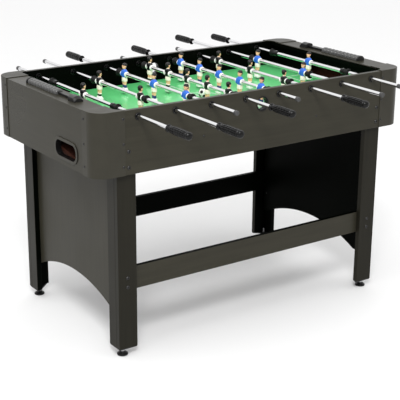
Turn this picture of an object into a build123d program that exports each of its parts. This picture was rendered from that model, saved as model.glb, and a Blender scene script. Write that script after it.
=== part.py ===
from build123d import *
import math
import os

# Table football: 120 cm cabinet with eight sliding, turning player rods.
# Frame: origin on the floor under the table's centre, +X along the cabinet, +Y along the rods,
# +Z up.  The layout repeats under a half turn about Z.  All sizes are millimetres.

# ---- driving dimensions ----
CABINET_LENGTH = 1200.0
CABINET_WIDTH = 650.0
TABLE_HEIGHT = 790.0
APRON_BOTTOM = 594.0
COVER_SKIN = 2.0            # moulded corner covers lie on the boards' outer faces
CORNER_RADIUS = 50.0
SIDE_THICKNESS = 16.0
END_THICKNESS = 16.0
RAIL_WIDTH = 77.0
RAIL_THICKNESS = 16.0
GOAL_WALL_X = 531.0
GOAL_WALL_THICKNESS = 15.0
GOAL_HALF_WIDTH = 95.0
GOAL_TOP = 752.0
PITCH_Z = 698.0
PITCH_THICKNESS = 10.0
EDGE_EASE = 0.8

ROD_COUNT = 8
ROD_PITCH = 130.0
ROD_Z = 767.0
ROD_RADIUS = 6.35
ROD_BORE = 5.35
RUNNING_CLEARANCE = 0.07
MEN_PER_ROD = (1, 2, 3, 5, 5, 3, 2, 1)
FRONT_RODS = (1, 2, 4, 6)   # rods whose handles are on the -Y side
MEN_SPACING = {1: 0.0, 2: 254.0, 3: 185.0, 5: 116.0}
HANDLE_START = {1: 484.0, 2: 544.0, 3: 479.0, 5: 449.0}
FREE_END = {1: 462.0, 2: 518.0, 3: 455.0, 5: 421.0}
HANDLE_LENGTH = 108.0
HANDLE_DEPTH = 88.0
MAN_HALF_WIDTH = 16.5
HEAD_TOP = 37.0
SOLE = 62.0
BUMPER_LENGTH = 22.0
BUMPER_RADIUS = 9.5
BUMPER_FLANGE = 6.0
BUMPER_FLANGE_RADIUS = 13.0
GOALKEEPER_COLLAR = (176.0, 190.0)
COLLAR_RADIUS = 10.0
END_CAP_LENGTH = 12.0
END_CAP_RADIUS = 7.6
PART_GAP = 0.5

BEARING_RADIUS = 8.8
BEARING_FLANGE_RADIUS = 11.0
BEARING_FLANGE = 4.0
BEARING_NUT_RADIUS = 11.0

LEG_CORNER_X = 520.0
LEG_BOARD = 18.0
LEG_WIDTH_X = 65.0
LEG_WIDTH_Y = 60.0
LEG_TOP = 685.0
LEG_BOLT_X = 487.5
LEG_BOLT_Z = (616.0, 665.0)
STRETCHER_BOLT_Z = (232.0, 262.0)
FOOT_PLATE_Z = 26.0
FOOT_PLATE = 3.0
FOOT_RADIUS = 17.5
STUD_RADIUS = 4.0
STUD_INSET = 6.0            # from the leg boards' inner faces

PANEL_THICKNESS = 16.0
ARCH_SPRING_Z = 130.0
ARCH_CROWN_Z = 188.0
STRETCHER_Z = (213.0, 287.0)

RETURN_Y = -146.5           # ball return of the left end; the right end is its half turn
RETURN_Z = (610.5, 677.5)
RETURN_WIDTH = 143.0
RETURN_RIM = 9.0
RETURN_CORNER = 30.0
RAMP_LOW, RAMP_HIGH, RAMP_END_Y = 617.0, 680.0, 140.0
RAMP_THICKNESS = 8.0
ENTRY_Z = 743.0
ENTRY_RADIUS = 18.0

RACK_X = 558.0
RACK_HALF_LENGTH = 158.0
RACK_END = 6.0
BEAD_COUNT = 10
BEAD_PITCH = 19.0
BEAD_WIDTH = 29.0
BEAD_HEIGHT = 16.0
BEAD_CROWN = 10.0
RACK_GAP = 82.0
STEM_HALF, STEM_TOP = 2.5, 4.0
HEAD_HALF, HEAD_TOP_Z = 5.0, 8.0
BALL_RADIUS = 16.0
BALL_X, BALL_Y = -4.0, -4.0

# ---- planes worked out from them ----
PANEL_X = CABINET_LENGTH / 2 - COVER_SKIN
PANEL_Y = CABINET_WIDTH / 2 - COVER_SKIN
DECK_Z = TABLE_HEIGHT - COVER_SKIN
INNER_Y = PANEL_Y - SIDE_THICKNESS
RAIL_X = PANEL_X - RAIL_WIDTH
POST_X = CABINET_LENGTH / 2 - CORNER_RADIUS
POST_Y = CABINET_WIDTH / 2 - CORNER_RADIUS
NUT_FACE = INNER_Y - BEARING_FLANGE
LEG_INNER_X = LEG_CORNER_X - LEG_BOARD
LEG_INNER_Y = INNER_Y - LEG_BOARD
COVER_REACH_X = 500.0       # where the covers' skirts end on the sides
COVER_REACH_Y = 247.0       # and on the ends
COVER_SCREW_X, COVER_SCREW_Y = 506.0, 258.0
COVER_SCREW_Z = (621.0, 690.0, 765.0)
CROSS_RAIL_X = 222.0
CROSS_RAIL_HALF = 10.0
APRON_SCREW_Z = 673.0
FOOT_X, FOOT_Y = LEG_INNER_X - STUD_INSET, LEG_INNER_Y - STUD_INSET
ARCH_HALF_SPAN = INNER_Y - LEG_WIDTH_Y
ARCH_SCREW_Y = ARCH_HALF_SPAN + 13
ARCH_SCREW_Z = (200.0, 560.0)
BATTEN_END = LEG_CORNER_X - LEG_WIDTH_X - 8

CORNERS = [(sx, sy) for sx in (-1, 1) for sy in (-1, 1)]


def block(x, y, z):
    """Box between three (low, high) pairs."""
    size = [high - low for low, high in (x, y, z)]
    centre = [(high + low) / 2 for low, high in (x, y, z)]
    return Pos(*centre) * Box(*size)


def board(x, y, z):
    """Box with its edges eased."""
    solid = block(x, y, z)
    return chamfer(solid.edges(), EDGE_EASE)


def mirrored(pair, sign):
    return tuple(sorted((pair[0] * sign, pair[1] * sign)))


def rod_along_y(x, z, y_pair, radius):
    low, high = sorted(y_pair)
    return Pos(x, (low + high) / 2, z) * Rot(90, 0, 0) * Cylinder(radius, high - low)


def half_turn(solid):
    return solid.rotate(Axis.Z, 180)


def save(name, solids):
    os.makedirs("parts", exist_ok=True)
    pieces = solids if isinstance(solids, list) else [solids]
    flat = [one for piece in pieces for one in piece.solids()]
    export_step(Compound(label=name, children=flat), f"parts/{name}.step")


def rod_x(number):
    return (number - (ROD_COUNT + 1) / 2) * ROD_PITCH


# ---- fasteners ----
def screw(point, outward, head_radius, head_height, shank_radius, length):
    """Pan-head screw: the head stands on the point along outward, the shank runs the other way."""
    plane = Plane(origin=point, z_dir=outward)
    head = Cylinder(head_radius, head_height, align=(Align.CENTER, Align.CENTER, Align.MIN))
    head = chamfer(head.edges().group_by(Axis.Z)[-1], head_height * 0.45)
    shank = Cylinder(shank_radius, length, align=(Align.CENTER, Align.CENTER, Align.MAX))
    return plane * (head + shank)


def leg_bolts():
    bolts = []
    for sx, sy in CORNERS:
        for z in LEG_BOLT_Z:
            bolts.append(screw((sx * LEG_BOLT_X, sy * PANEL_Y, z), (0, sy, 0), 6, 3, 3, 34))
        for z in STRETCHER_BOLT_Z:
            bolts.append(screw((sx * LEG_BOLT_X, sy * INNER_Y, z), (0, sy, 0), 6, 3, 3, 34))
    return bolts


def cabinet_screws():
    screws = []
    for sx, sy in CORNERS:
        side, end = sy * (PANEL_Y + COVER_SKIN), sx * (PANEL_X + COVER_SKIN)
        for z in COVER_SCREW_Z:
            screws.append(screw((sx * COVER_SCREW_X, side, z), (0, sy, 0), 4, 1.6, 1.8, 16))
            screws.append(screw((end, sy * COVER_SCREW_Y, z), (sx, 0, 0), 4, 1.6, 1.8, 14))
        screws.append(screw((sx * CROSS_RAIL_X, sy * PANEL_Y, APRON_SCREW_Z), (0, sy, 0), 3.5, 1.6, 2, 45))
        inside = sx * (LEG_INNER_X - PANEL_THICKNESS)
        for z in ARCH_SCREW_Z:
            screws.append(screw((inside, sy * ARCH_SCREW_Y, z), (-sx, 0, 0), 4, 1.6, 2, 28))
    return screws


FASTENERS = leg_bolts() + cabinet_screws()


def drilled(solid):
    """Cuts every fastener that reaches into the solid."""
    box = solid.bounding_box()
    for one in FASTENERS:
        other = one.bounding_box()
        lows = zip(tuple(box.min), tuple(other.max))
        highs = zip(tuple(other.min), tuple(box.max))
        if all(a < b for a, b in lows) and all(a < b for a, b in highs):
            solid = solid - one
    return solid


# ---- cabinet ----
def side_wall(sign):
    wall = board((-POST_X, POST_X), mirrored((INNER_Y, PANEL_Y), sign), (APRON_BOTTOM, DECK_Z))
    reach = mirrored((INNER_Y - 5, PANEL_Y + 5), sign)
    for number in range(1, ROD_COUNT + 1):
        wall -= rod_along_y(rod_x(number), ROD_Z, reach, BEARING_RADIUS)
    wall -= rod_along_y(0, ENTRY_Z, reach, ENTRY_RADIUS + 2)
    return drilled(wall)


def return_outline(inset):
    """Return opening in the YZ plane, with rounded ends."""
    width = RETURN_WIDTH - 2 * inset
    height = RETURN_Z[1] - RETURN_Z[0] - 2 * inset
    shape = RectangleRounded(width, height, RETURN_CORNER - inset)
    middle = sum(RETURN_Z) / 2
    return Plane(origin=(-PANEL_X, RETURN_Y, middle), x_dir=(0, -1, 0), z_dir=(-1, 0, 0)) * shape


def end_panel_left():
    outer = -PANEL_X
    inner = outer + END_THICKNESS
    corner = DECK_Z - EDGE_EASE
    points = [(outer, APRON_BOTTOM), (inner, APRON_BOTTOM), (inner, DECK_Z - END_THICKNESS)]
    points += [(outer + EDGE_EASE, DECK_Z), (outer, corner)]
    face = Plane.XZ * Polygon(*points, align=None)
    panel = extrude(face, POST_Y, both=True)
    panel -= extrude(return_outline(RETURN_RIM - 2), -END_THICKNESS - 1)
    return drilled(panel)


def end_rail_left():
    outer = -PANEL_X
    under = DECK_Z - RAIL_THICKNESS
    points = [(outer + EDGE_EASE, DECK_Z), (outer + END_THICKNESS, under), (-RAIL_X, under)]
    points += [(-RAIL_X, DECK_Z - 2), (-RAIL_X - 2, DECK_Z)]
    face = Plane.XZ * Polygon(*points, align=None)
    rail = extrude(face, POST_Y, both=True)
    return rail + block((-POST_X, -RAIL_X - 2), (-INNER_Y, INNER_Y), (under, DECK_Z))


def goal_wall_left():
    outer = -GOAL_WALL_X - GOAL_WALL_THICKNESS
    wall = block((outer, -GOAL_WALL_X), (-INNER_Y, INNER_Y), (APRON_BOTTOM, DECK_Z - RAIL_THICKNESS))
    mouth = (-GOAL_HALF_WIDTH, GOAL_HALF_WIDTH)
    return wall - block((outer - 1, -GOAL_WALL_X + 1), mouth, (PITCH_Z, GOAL_TOP))


def corner_post(sx, sy):
    post = Pos(POST_X, POST_Y, APRON_BOTTOM) * Cylinder(
        CORNER_RADIUS - COVER_SKIN, DECK_Z - APRON_BOTTOM, align=(Align.CENTER, Align.CENTER, Align.MIN)
    )
    reach = CORNER_RADIUS + 5
    post &= block((POST_X, POST_X + reach), (POST_Y, POST_Y + reach), (APRON_BOTTOM, DECK_Z))
    return placed_in_corner(post, sx, sy)


def placed_in_corner(solid, sx, sy):
    """Mirrors a piece modelled at the +X +Y corner."""
    if sx < 0:
        solid = solid.mirror(Plane.YZ)
    if sy < 0:
        solid = solid.mirror(Plane.XZ)
    return solid


def corner_cover(sx, sy):
    """Moulded skirt round the corner with a flange that laps the deck and rounds the inner corner."""
    height = TABLE_HEIGHT - APRON_BOTTOM
    outside = Pos(0, 0, APRON_BOTTOM) * extrude(
        RectangleRounded(CABINET_LENGTH, CABINET_WIDTH, CORNER_RADIUS), height
    )
    outside = fillet(outside.edges().group_by(Axis.Z)[-1], 1.5)
    inside = Pos(0, 0, APRON_BOTTOM) * extrude(
        RectangleRounded(2 * PANEL_X, 2 * PANEL_Y, CORNER_RADIUS - COVER_SKIN), height - COVER_SKIN
    )
    far = CABINET_LENGTH
    skirt_zone = block((COVER_REACH_X, far), (COVER_REACH_Y, far), (APRON_BOTTOM, TABLE_HEIGHT))
    round_r = RAIL_X - COVER_REACH_X - 1
    corner = block((RAIL_X - round_r, RAIL_X), (INNER_Y - round_r, INNER_Y), (DECK_Z, TABLE_HEIGHT))
    corner -= Pos(RAIL_X - round_r, INNER_Y - round_r, DECK_Z) * Cylinder(round_r, 10)
    hollow = block((COVER_REACH_X - 1, RAIL_X), (COVER_REACH_Y - 1, INNER_Y), (APRON_BOTTOM, far))
    cover = (outside & skirt_zone) - inside - hollow + corner
    return drilled(placed_in_corner(cover, sx, sy))


def playfield():
    return block((-GOAL_WALL_X, GOAL_WALL_X), (-INNER_Y, INNER_Y), (PITCH_Z - PITCH_THICKNESS, PITCH_Z))


def field_supports():
    pieces = []
    top = PITCH_Z - PITCH_THICKNESS
    for sy in (-1, 1):
        batten = block((-BATTEN_END, BATTEN_END), mirrored((LEG_INNER_Y, INNER_Y), sy), (top - 20, top))
        pieces.append(drilled(batten))
    for sx in (-1, 1):
        x_pair = mirrored((CROSS_RAIL_X - CROSS_RAIL_HALF, CROSS_RAIL_X + CROSS_RAIL_HALF), sx)
        pieces.append(drilled(block(x_pair, (-LEG_INNER_Y, LEG_INNER_Y), (top - 30, top))))
    return pieces


def return_ramp_left():
    """Sloping board behind the goal that rolls the ball to the return, with a stop at its low end."""
    x_low = -(PANEL_X - END_THICKNESS)
    x_high = -(GOAL_WALL_X + GOAL_WALL_THICKNESS)
    low_y = RETURN_Y - RETURN_WIDTH / 2 + RETURN_RIM - 2
    slope = [(low_y, RAMP_LOW - RAMP_THICKNESS), (RAMP_END_Y, RAMP_HIGH - RAMP_THICKNESS)]
    slope += [(RAMP_END_Y, RAMP_HIGH), (low_y, RAMP_LOW)]
    face = Plane.YZ * Polygon(*slope, align=None)
    ramp = Pos(x_low, 0, 0) * extrude(face, x_high - x_low)
    stop = block((x_low, x_high), (low_y - 10, low_y), (600, 690))
    return ramp + stop


def return_trim_left():
    sleeve = extrude(return_outline(RETURN_RIM - 2), -END_THICKNESS)
    rim = extrude(return_outline(0), 3)
    rim = fillet(rim.edges().group_by(Axis.X)[0], 1.2)
    return sleeve + rim - extrude(return_outline(RETURN_RIM), 2 * END_THICKNESS, both=True)


def entry_cup(sign):
    """Ball entry: a dished ring on the outside with a sleeve through the wall."""
    flange = rod_along_y(0, ENTRY_Z, mirrored((PANEL_Y, PANEL_Y + 3), sign), ENTRY_RADIUS + 6)
    flange = fillet(flange.edges().group_by(Axis.Y)[-1 if sign > 0 else 0], 1.4)
    sleeve = rod_along_y(0, ENTRY_Z, mirrored((INNER_Y, PANEL_Y + 1), sign), ENTRY_RADIUS + 2)
    way_through = rod_along_y(0, ENTRY_Z, mirrored((INNER_Y - 1, PANEL_Y + 9), sign), ENTRY_RADIUS)
    return flange + sleeve - way_through


# ---- rod bearings ----
def rod_bearing(x, sign):
    """Flanged sleeve through the wall and the ring nut that holds it from the inside."""
    y_pair = mirrored((PANEL_Y, PANEL_Y + BEARING_FLANGE), sign)
    flange = rod_along_y(x, ROD_Z, y_pair, BEARING_FLANGE_RADIUS)
    flange = chamfer(flange.edges().group_by(Axis.Y)[-1 if sign > 0 else 0], 1.5)
    sleeve = rod_along_y(x, ROD_Z, mirrored((NUT_FACE, PANEL_Y + 1), sign), BEARING_RADIUS)
    bore = rod_along_y(x, ROD_Z, mirrored((0, PANEL_Y + 50), sign), ROD_RADIUS + RUNNING_CLEARANCE)
    nut = rod_along_y(x, ROD_Z, mirrored((NUT_FACE, INNER_Y), sign), BEARING_NUT_RADIUS)
    nut = chamfer(nut.edges().group_by(Axis.Y)[0 if sign > 0 else -1], 1)
    return [flange + sleeve - bore, nut - sleeve]


# ---- player rods ----
def handle_side(number):
    return -1 if number in FRONT_RODS else 1


def outer_man(men):
    return MEN_SPACING[men] * (men - 1) / 2


def bumper_start(men):
    edge = GOALKEEPER_COLLAR[1] if men == 1 else outer_man(men) + MAN_HALF_WIDTH
    return edge + PART_GAP


def rod_shaft(number):
    """Hollow tube and its push-on end cap, with set collars beside the bumpers on one-man rods."""
    men, side, x = MEN_PER_ROD[number - 1], handle_side(number), rod_x(number)
    handle_end = side * (HANDLE_START[men] + HANDLE_DEPTH)
    tip = -side * FREE_END[men]
    tube_end = tip + side * 2
    tube = rod_along_y(x, ROD_Z, (tube_end, handle_end), ROD_RADIUS)
    tube -= rod_along_y(x, ROD_Z, (tube_end - side, handle_end + side), ROD_BORE)
    cap = rod_along_y(x, ROD_Z, (tip, tip + side * END_CAP_LENGTH), END_CAP_RADIUS)
    cap = fillet(cap.edges().group_by(Axis.Y)[0 if side > 0 else -1], 1.5)
    cap -= rod_along_y(x, ROD_Z, (tube_end, tip + side * 20), ROD_RADIUS)
    pieces = [tube, cap]
    if men == 1:
        for sign in (-1, 1):
            ring = rod_along_y(x, ROD_Z, mirrored(GOALKEEPER_COLLAR, sign), COLLAR_RADIUS)
            pieces.append(ring - rod_along_y(x, ROD_Z, mirrored((150, 210), sign), ROD_RADIUS))
    return pieces


def bumper(x, start, sign):
    """Rubber sleeve with a wide flange towards the bearing."""
    end = start + BUMPER_LENGTH
    sleeve = rod_along_y(x, ROD_Z, mirrored((start, end), sign), BUMPER_RADIUS)
    flange = rod_along_y(x, ROD_Z, mirrored((end - BUMPER_FLANGE, end), sign), BUMPER_FLANGE_RADIUS)
    flange = chamfer(flange.edges().group_by(Axis.Y)[-1 if sign > 0 else 0], 1.5)
    bore = rod_along_y(x, ROD_Z, mirrored((start - 5, end + 5), sign), ROD_RADIUS + RUNNING_CLEARANCE)
    return sleeve + flange - bore


def player(x, y, facing):
    """Moulded man on the rod: head, chest, rod boss, tapering legs and a block foot."""
    head = Pos(0, 0, HEAD_TOP - 10.5) * Sphere(10.5)
    chest = Pos(0, 0, -11) * extrude(Ellipse(9, 13), 31, taper=6)
    boss = Rot(90, 0, 0) * Cylinder(11, 2 * MAN_HALF_WIDTH)
    hips, ankle = Pos(0, 0, -8) * Rectangle(17, 22), Pos(-1, 0, 15 - SOLE) * Rectangle(11, 16)
    legs = loft([hips, ankle])
    side = [(-9, -SOLE), (9, -SOLE), (9, 8 - SOLE), (3, 16 - SOLE), (-7, 16 - SOLE)]
    foot = extrude(Plane.XZ * Polygon(*side, align=None), 11.5, both=True)
    man = head + chest + boss + legs + foot
    man -= Rot(90, 0, 0) * Cylinder(ROD_RADIUS, 4 * MAN_HALF_WIDTH)
    turn = 0 if facing > 0 else 180
    return Pos(x, y, ROD_Z) * Rot(0, 0, turn) * man


def players(number):
    men = MEN_PER_ROD[number - 1]
    places = [MEN_SPACING[men] * (k - (men - 1) / 2) for k in range(men)]
    return [player(rod_x(number), y, -handle_side(number)) for y in places]


def handle(number):
    """Turned grip: flared collar, narrow neck, swelling barrel and domed end, bored for the rod."""
    men, side = MEN_PER_ROD[number - 1], handle_side(number)
    length = HANDLE_LENGTH
    with BuildPart() as grip:
        with BuildSketch(Plane.XZ):
            with BuildLine():
                collar = Polyline((0, 0), (11.5, 0), (12, 2), (11.5, 4.5), (8.6, 7), (8.6, 13))
                swell = Spline((8.6, 13), (11.0, 21), (12.4, 52), (11.8, length - 12))
                dome = Spline(swell @ 1, (8.6, length - 2.6), (0, length), tangents=[swell % 1, (-1, 0)])
                Line(dome @ 1, collar @ 0)
            make_face()
        revolve(axis=Axis.Z)
    solid = grip.part - Pos(0, 0, HANDLE_DEPTH / 2) * Cylinder(ROD_RADIUS, HANDLE_DEPTH)
    place = Plane(origin=(rod_x(number), side * HANDLE_START[men], ROD_Z), z_dir=(0, side, 0))
    return place * solid


# ---- legs ----
def leg(sx, sy):
    low = FOOT_PLATE_Z + FOOT_PLATE
    long_board = board(
        mirrored((LEG_CORNER_X - LEG_WIDTH_X, LEG_CORNER_X), sx),
        mirrored((LEG_INNER_Y, INNER_Y), sy), (low, LEG_TOP),
    )
    end_board = board(
        mirrored((LEG_INNER_X, LEG_CORNER_X), sx),
        mirrored((INNER_Y - LEG_WIDTH_Y, LEG_INNER_Y), sy), (low, LEG_TOP),
    )
    return [drilled(long_board), drilled(end_board)]


def foot_plate(sx, sy):
    edge_x, edge_y = LEG_CORNER_X - 2, INNER_Y - 2
    outline = [(edge_x, edge_y), (edge_x - 62, edge_y), (edge_x - 62, edge_y - 8)]
    outline += [(edge_x - 8, edge_y - 58), (edge_x, edge_y - 58)]
    plate = Pos(0, 0, FOOT_PLATE_Z) * extrude(Polygon(*outline, align=None), FOOT_PLATE)
    plate -= Pos(FOOT_X, FOOT_Y, FOOT_PLATE_Z) * Cylinder(STUD_RADIUS + RUNNING_CLEARANCE, 20)
    return placed_in_corner(plate, sx, sy)


def levelling_foot(sx, sy):
    base = extrude(Circle(FOOT_RADIUS), 6)
    base = fillet(base.edges().group_by(Axis.Z)[-1], 2)
    skirt = Pos(0, 0, 6) * extrude(Circle(11), 6, taper=25)
    nut = Pos(0, 0, 12) * extrude(RegularPolygon(7.5, 6), 8)
    stud = Cylinder(STUD_RADIUS, 44, align=(Align.CENTER, Align.CENTER, Align.MIN))
    return Pos(sx * FOOT_X, sy * FOOT_Y, 0) * (base + skirt + nut + stud)


def arch_panel(sx):
    """Board between the legs of one end with a low circular arch cut in its foot."""
    rise = ARCH_CROWN_Z - ARCH_SPRING_Z
    radius = (ARCH_HALF_SPAN**2 + rise**2) / (2 * rise)
    half_width = LEG_INNER_Y - PANEL_THICKNESS
    x_pair = mirrored((LEG_INNER_X - PANEL_THICKNESS, LEG_INNER_X), sx)
    panel = board(x_pair, (-half_width, half_width), (ARCH_SPRING_Z, LEG_TOP))
    arch = Pos(sx * LEG_INNER_X, 0, ARCH_CROWN_Z - radius) * Rot(0, 90, 0) * Cylinder(radius, 60)
    return drilled(panel - arch)


def stretcher(sy):
    y_pair = mirrored((LEG_INNER_Y - PANEL_THICKNESS, LEG_INNER_Y), sy)
    return drilled(board((-LEG_INNER_X, LEG_INNER_X), y_pair, STRETCHER_Z))


# ---- score racks ----
def rack_outline(width, height, crown):
    """Cross-section of beads and end blocks: upright sides and an arched top, base on the deck."""
    half = width / 2
    with BuildSketch() as sketch:
        with BuildLine():
            walls = Polyline((-half, height - crown), (-half, 0), (half, 0), (half, height - crown))
            ThreePointArc(walls @ 1, (0, height), walls @ 0)
        make_face()
    return sketch.sketch


def along_rack(shape, y_low, y_high, base):
    plane = Plane(origin=(-RACK_X, y_high, DECK_Z + base), x_dir=(1, 0, 0), z_dir=(0, -1, 0))
    return extrude((plane * shape), y_high - y_low)


def score_bead(index):
    """Bead astride the T-rail; index 0 is the one nearest the free gap."""
    y_low = RACK_HALF_LENGTH - RACK_END - BEAD_PITCH * (BEAD_COUNT - index)
    outline = rack_outline(BEAD_WIDTH, BEAD_HEIGHT, BEAD_CROWN)
    bead = along_rack(outline, y_low + 0.3, y_low + BEAD_PITCH, 0.3)
    y_pair = (y_low - 1, y_low + BEAD_PITCH + 1)
    stem, head = STEM_HALF + 0.1, HEAD_HALF + 0.1
    bead -= block((-RACK_X - stem, -RACK_X + stem), y_pair, (DECK_Z - 1, DECK_Z + STEM_TOP + 1))
    slot = (DECK_Z + STEM_TOP - 0.1, DECK_Z + HEAD_TOP_Z + 0.1)
    return bead - block((-RACK_X - head, -RACK_X + head), y_pair, slot)


def score_rack_left():
    end = RACK_HALF_LENGTH
    block_start = end - RACK_END - BEAD_COUNT * BEAD_PITCH - RACK_GAP
    outline = rack_outline(BEAD_WIDTH + 2, BEAD_HEIGHT + 1, BEAD_CROWN)
    back = along_rack(outline, end - RACK_END, end, 0)
    outline = rack_outline(BEAD_WIDTH + 2, BEAD_HEIGHT + 1, 5)
    front = along_rack(outline, -end, block_start, 0)
    front = chamfer(front.edges().group_by(Axis.Y)[0].group_by(Axis.Z)[-1], 9, 7)
    run = (block_start, end - RACK_END)
    stem = block((-RACK_X - STEM_HALF, -RACK_X + STEM_HALF), run, (DECK_Z, DECK_Z + STEM_TOP))
    top = (DECK_Z + STEM_TOP, DECK_Z + HEAD_TOP_Z)
    head = block((-RACK_X - HEAD_HALF, -RACK_X + HEAD_HALF), run, top)
    return [back, front, stem + head]


def ball():
    return Pos(BALL_X, BALL_Y, PITCH_Z + BALL_RADIUS + 0.2) * Sphere(BALL_RADIUS)


def both_ends(solid):
    return [solid, half_turn(solid)]


def both_racks(solids):
    return solids + [half_turn(one) for one in solids]


# ---- write every node ----
save("front_side_wall", side_wall(-1))
save("back_side_wall", side_wall(1))
save("end_panels", both_ends(end_panel_left()))
save("end_rails", both_ends(end_rail_left()))
save("goal_walls", both_ends(goal_wall_left()))
save("playfield", playfield())
save("field_supports", field_supports())
save("corner_posts", [drilled(corner_post(sx, sy)) for sx, sy in CORNERS])
save("corner_covers", [corner_cover(sx, sy) for sx, sy in CORNERS])
save("return_ramps", both_ends(return_ramp_left()))
save("return_trims", both_ends(return_trim_left()))
save("ball_entry_cups", [entry_cup(sign) for sign in (-1, 1)])
bearings = [rod_bearing(rod_x(n), sign) for n in range(1, ROD_COUNT + 1) for sign in (-1, 1)]
save("rod_bearings", [piece for pair in bearings for piece in pair])
save("front_legs", leg(-1, -1) + leg(1, -1))
save("back_legs", leg(-1, 1) + leg(1, 1))
save("foot_plates", [foot_plate(sx, sy) for sx, sy in CORNERS])
save("arch_panels", [arch_panel(sx) for sx in (-1, 1)])
save("stretchers", [stretcher(sy) for sy in (-1, 1)])
save("fasteners", FASTENERS)
save("score_racks", both_racks(score_rack_left()))
save("score_bead_stacks", both_racks([score_bead(index) for index in range(1, BEAD_COUNT)]))
save("left_score_bead", score_bead(0))
save("right_score_bead", half_turn(score_bead(0)))
save("ball", ball())
for sx, sy in CORNERS:
    corner_name = f"{'front' if sy < 0 else 'back'}_{'left' if sx < 0 else 'right'}"
    save(f"foot_{corner_name}", levelling_foot(sx, sy))
for number in range(1, ROD_COUNT + 1):
    men = MEN_PER_ROD[number - 1]
    save(f"rod_{number}_shaft", rod_shaft(number))
    save(f"rod_{number}_players", players(number))
    save(f"rod_{number}_handle", handle(number))
    start = bumper_start(men)
    save(f"rod_{number}_bumpers", [bumper(rod_x(number), start, sign) for sign in (-1, 1)])
    travel = NUT_FACE - start - BUMPER_LENGTH - PART_GAP
    print(f"rod {number}: travel +/-{travel:.1f} mm")
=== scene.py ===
import math
import bmesh
import bpy
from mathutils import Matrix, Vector


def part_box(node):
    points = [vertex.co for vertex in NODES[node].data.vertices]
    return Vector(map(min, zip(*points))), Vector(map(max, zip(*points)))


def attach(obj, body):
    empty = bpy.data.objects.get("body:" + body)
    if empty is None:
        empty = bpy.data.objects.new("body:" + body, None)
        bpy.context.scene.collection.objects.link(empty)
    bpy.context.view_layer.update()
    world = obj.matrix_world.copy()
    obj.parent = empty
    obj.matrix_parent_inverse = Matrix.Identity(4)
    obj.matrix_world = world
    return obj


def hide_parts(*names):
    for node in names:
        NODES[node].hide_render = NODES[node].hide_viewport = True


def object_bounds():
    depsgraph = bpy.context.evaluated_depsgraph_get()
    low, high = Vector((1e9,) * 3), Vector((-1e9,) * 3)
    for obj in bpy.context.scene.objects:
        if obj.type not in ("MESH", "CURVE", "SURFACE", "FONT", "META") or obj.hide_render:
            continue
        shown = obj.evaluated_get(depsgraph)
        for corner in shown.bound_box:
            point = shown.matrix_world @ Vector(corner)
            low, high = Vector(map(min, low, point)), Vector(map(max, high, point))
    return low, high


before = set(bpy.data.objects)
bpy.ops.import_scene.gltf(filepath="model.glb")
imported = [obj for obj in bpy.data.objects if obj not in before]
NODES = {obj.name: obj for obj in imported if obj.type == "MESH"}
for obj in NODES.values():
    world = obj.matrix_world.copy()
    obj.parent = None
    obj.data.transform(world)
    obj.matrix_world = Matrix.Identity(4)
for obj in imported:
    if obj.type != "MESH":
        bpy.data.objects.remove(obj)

# A table football table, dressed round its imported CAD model.  Metres, +Z up, +X along the
# cabinet, +Y along the rods.  MM turns millimetres into metres.
MM = 0.001
TAU = 2 * math.pi
CAD_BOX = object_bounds()
ROD_COUNT = 8
FRONT_TEAM = (1, 2, 4, 6)       # rods played from the -Y side, whose men face +X
ROD_RADIUS = 6.35               # in millimetres, as every profile and station is
GOAL_WALL = 15 * MM             # thickness of the board with the goal mouth
LINE_HALF = 2.0 * MM            # half the width of a pitch marking
CENTRE_CIRCLE = 70 * MM
CENTRE_SPOT = 6 * MM
GOAL_BOX_REACH, GOAL_BOX_HALF = 92 * MM, 98 * MM
BALL_PATCH = math.radians(20.9)     # from the middle of a dark patch to its edge
COLLAR_LEAST = 18 * MM          # a solid of a rod this tall is a set collar
BOLT_LEAST = 5 * MM             # a fastener with a wider head is a leg bolt
FOCAL = 1120.0 / 400            # focal length over the picture's width
SKY_POWER = 1.34


# ---------------------------------------------------------------- reading the frame
def centre(node):
    low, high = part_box(node)
    return (low + high) / 2


def solids(node):
    """Vertex places of each separate solid of a CAD node."""
    mesh = bmesh.new()
    mesh.from_mesh(NODES[node].data)
    bmesh.ops.remove_doubles(mesh, verts=mesh.verts, dist=1e-6)
    seen, found = set(), []
    for start in mesh.verts:
        if start in seen:
            continue
        seen.add(start)
        group, front = [], [start]
        while front:
            vert = front.pop()
            group.append(vert.co.copy())
            for edge in vert.link_edges:
                other = edge.other_vert(vert)
                if other not in seen:
                    seen.add(other)
                    front.append(other)
        found.append(group)
    mesh.free()
    return found


def box_of(points):
    low = Vector([min(p[k] for p in points) for k in range(3)])
    high = Vector([max(p[k] for p in points) for k in range(3)])
    return low, high


def rod_axis(number):
    """A point on the rod's line, and +1 or -1 for the side its handle is on."""
    shaft, grip = centre(f"rod_{number}_shaft"), centre(f"rod_{number}_handle")
    return Vector((grip.x, 0, grip.z)), (1 if grip.y > shaft.y else -1)


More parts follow.
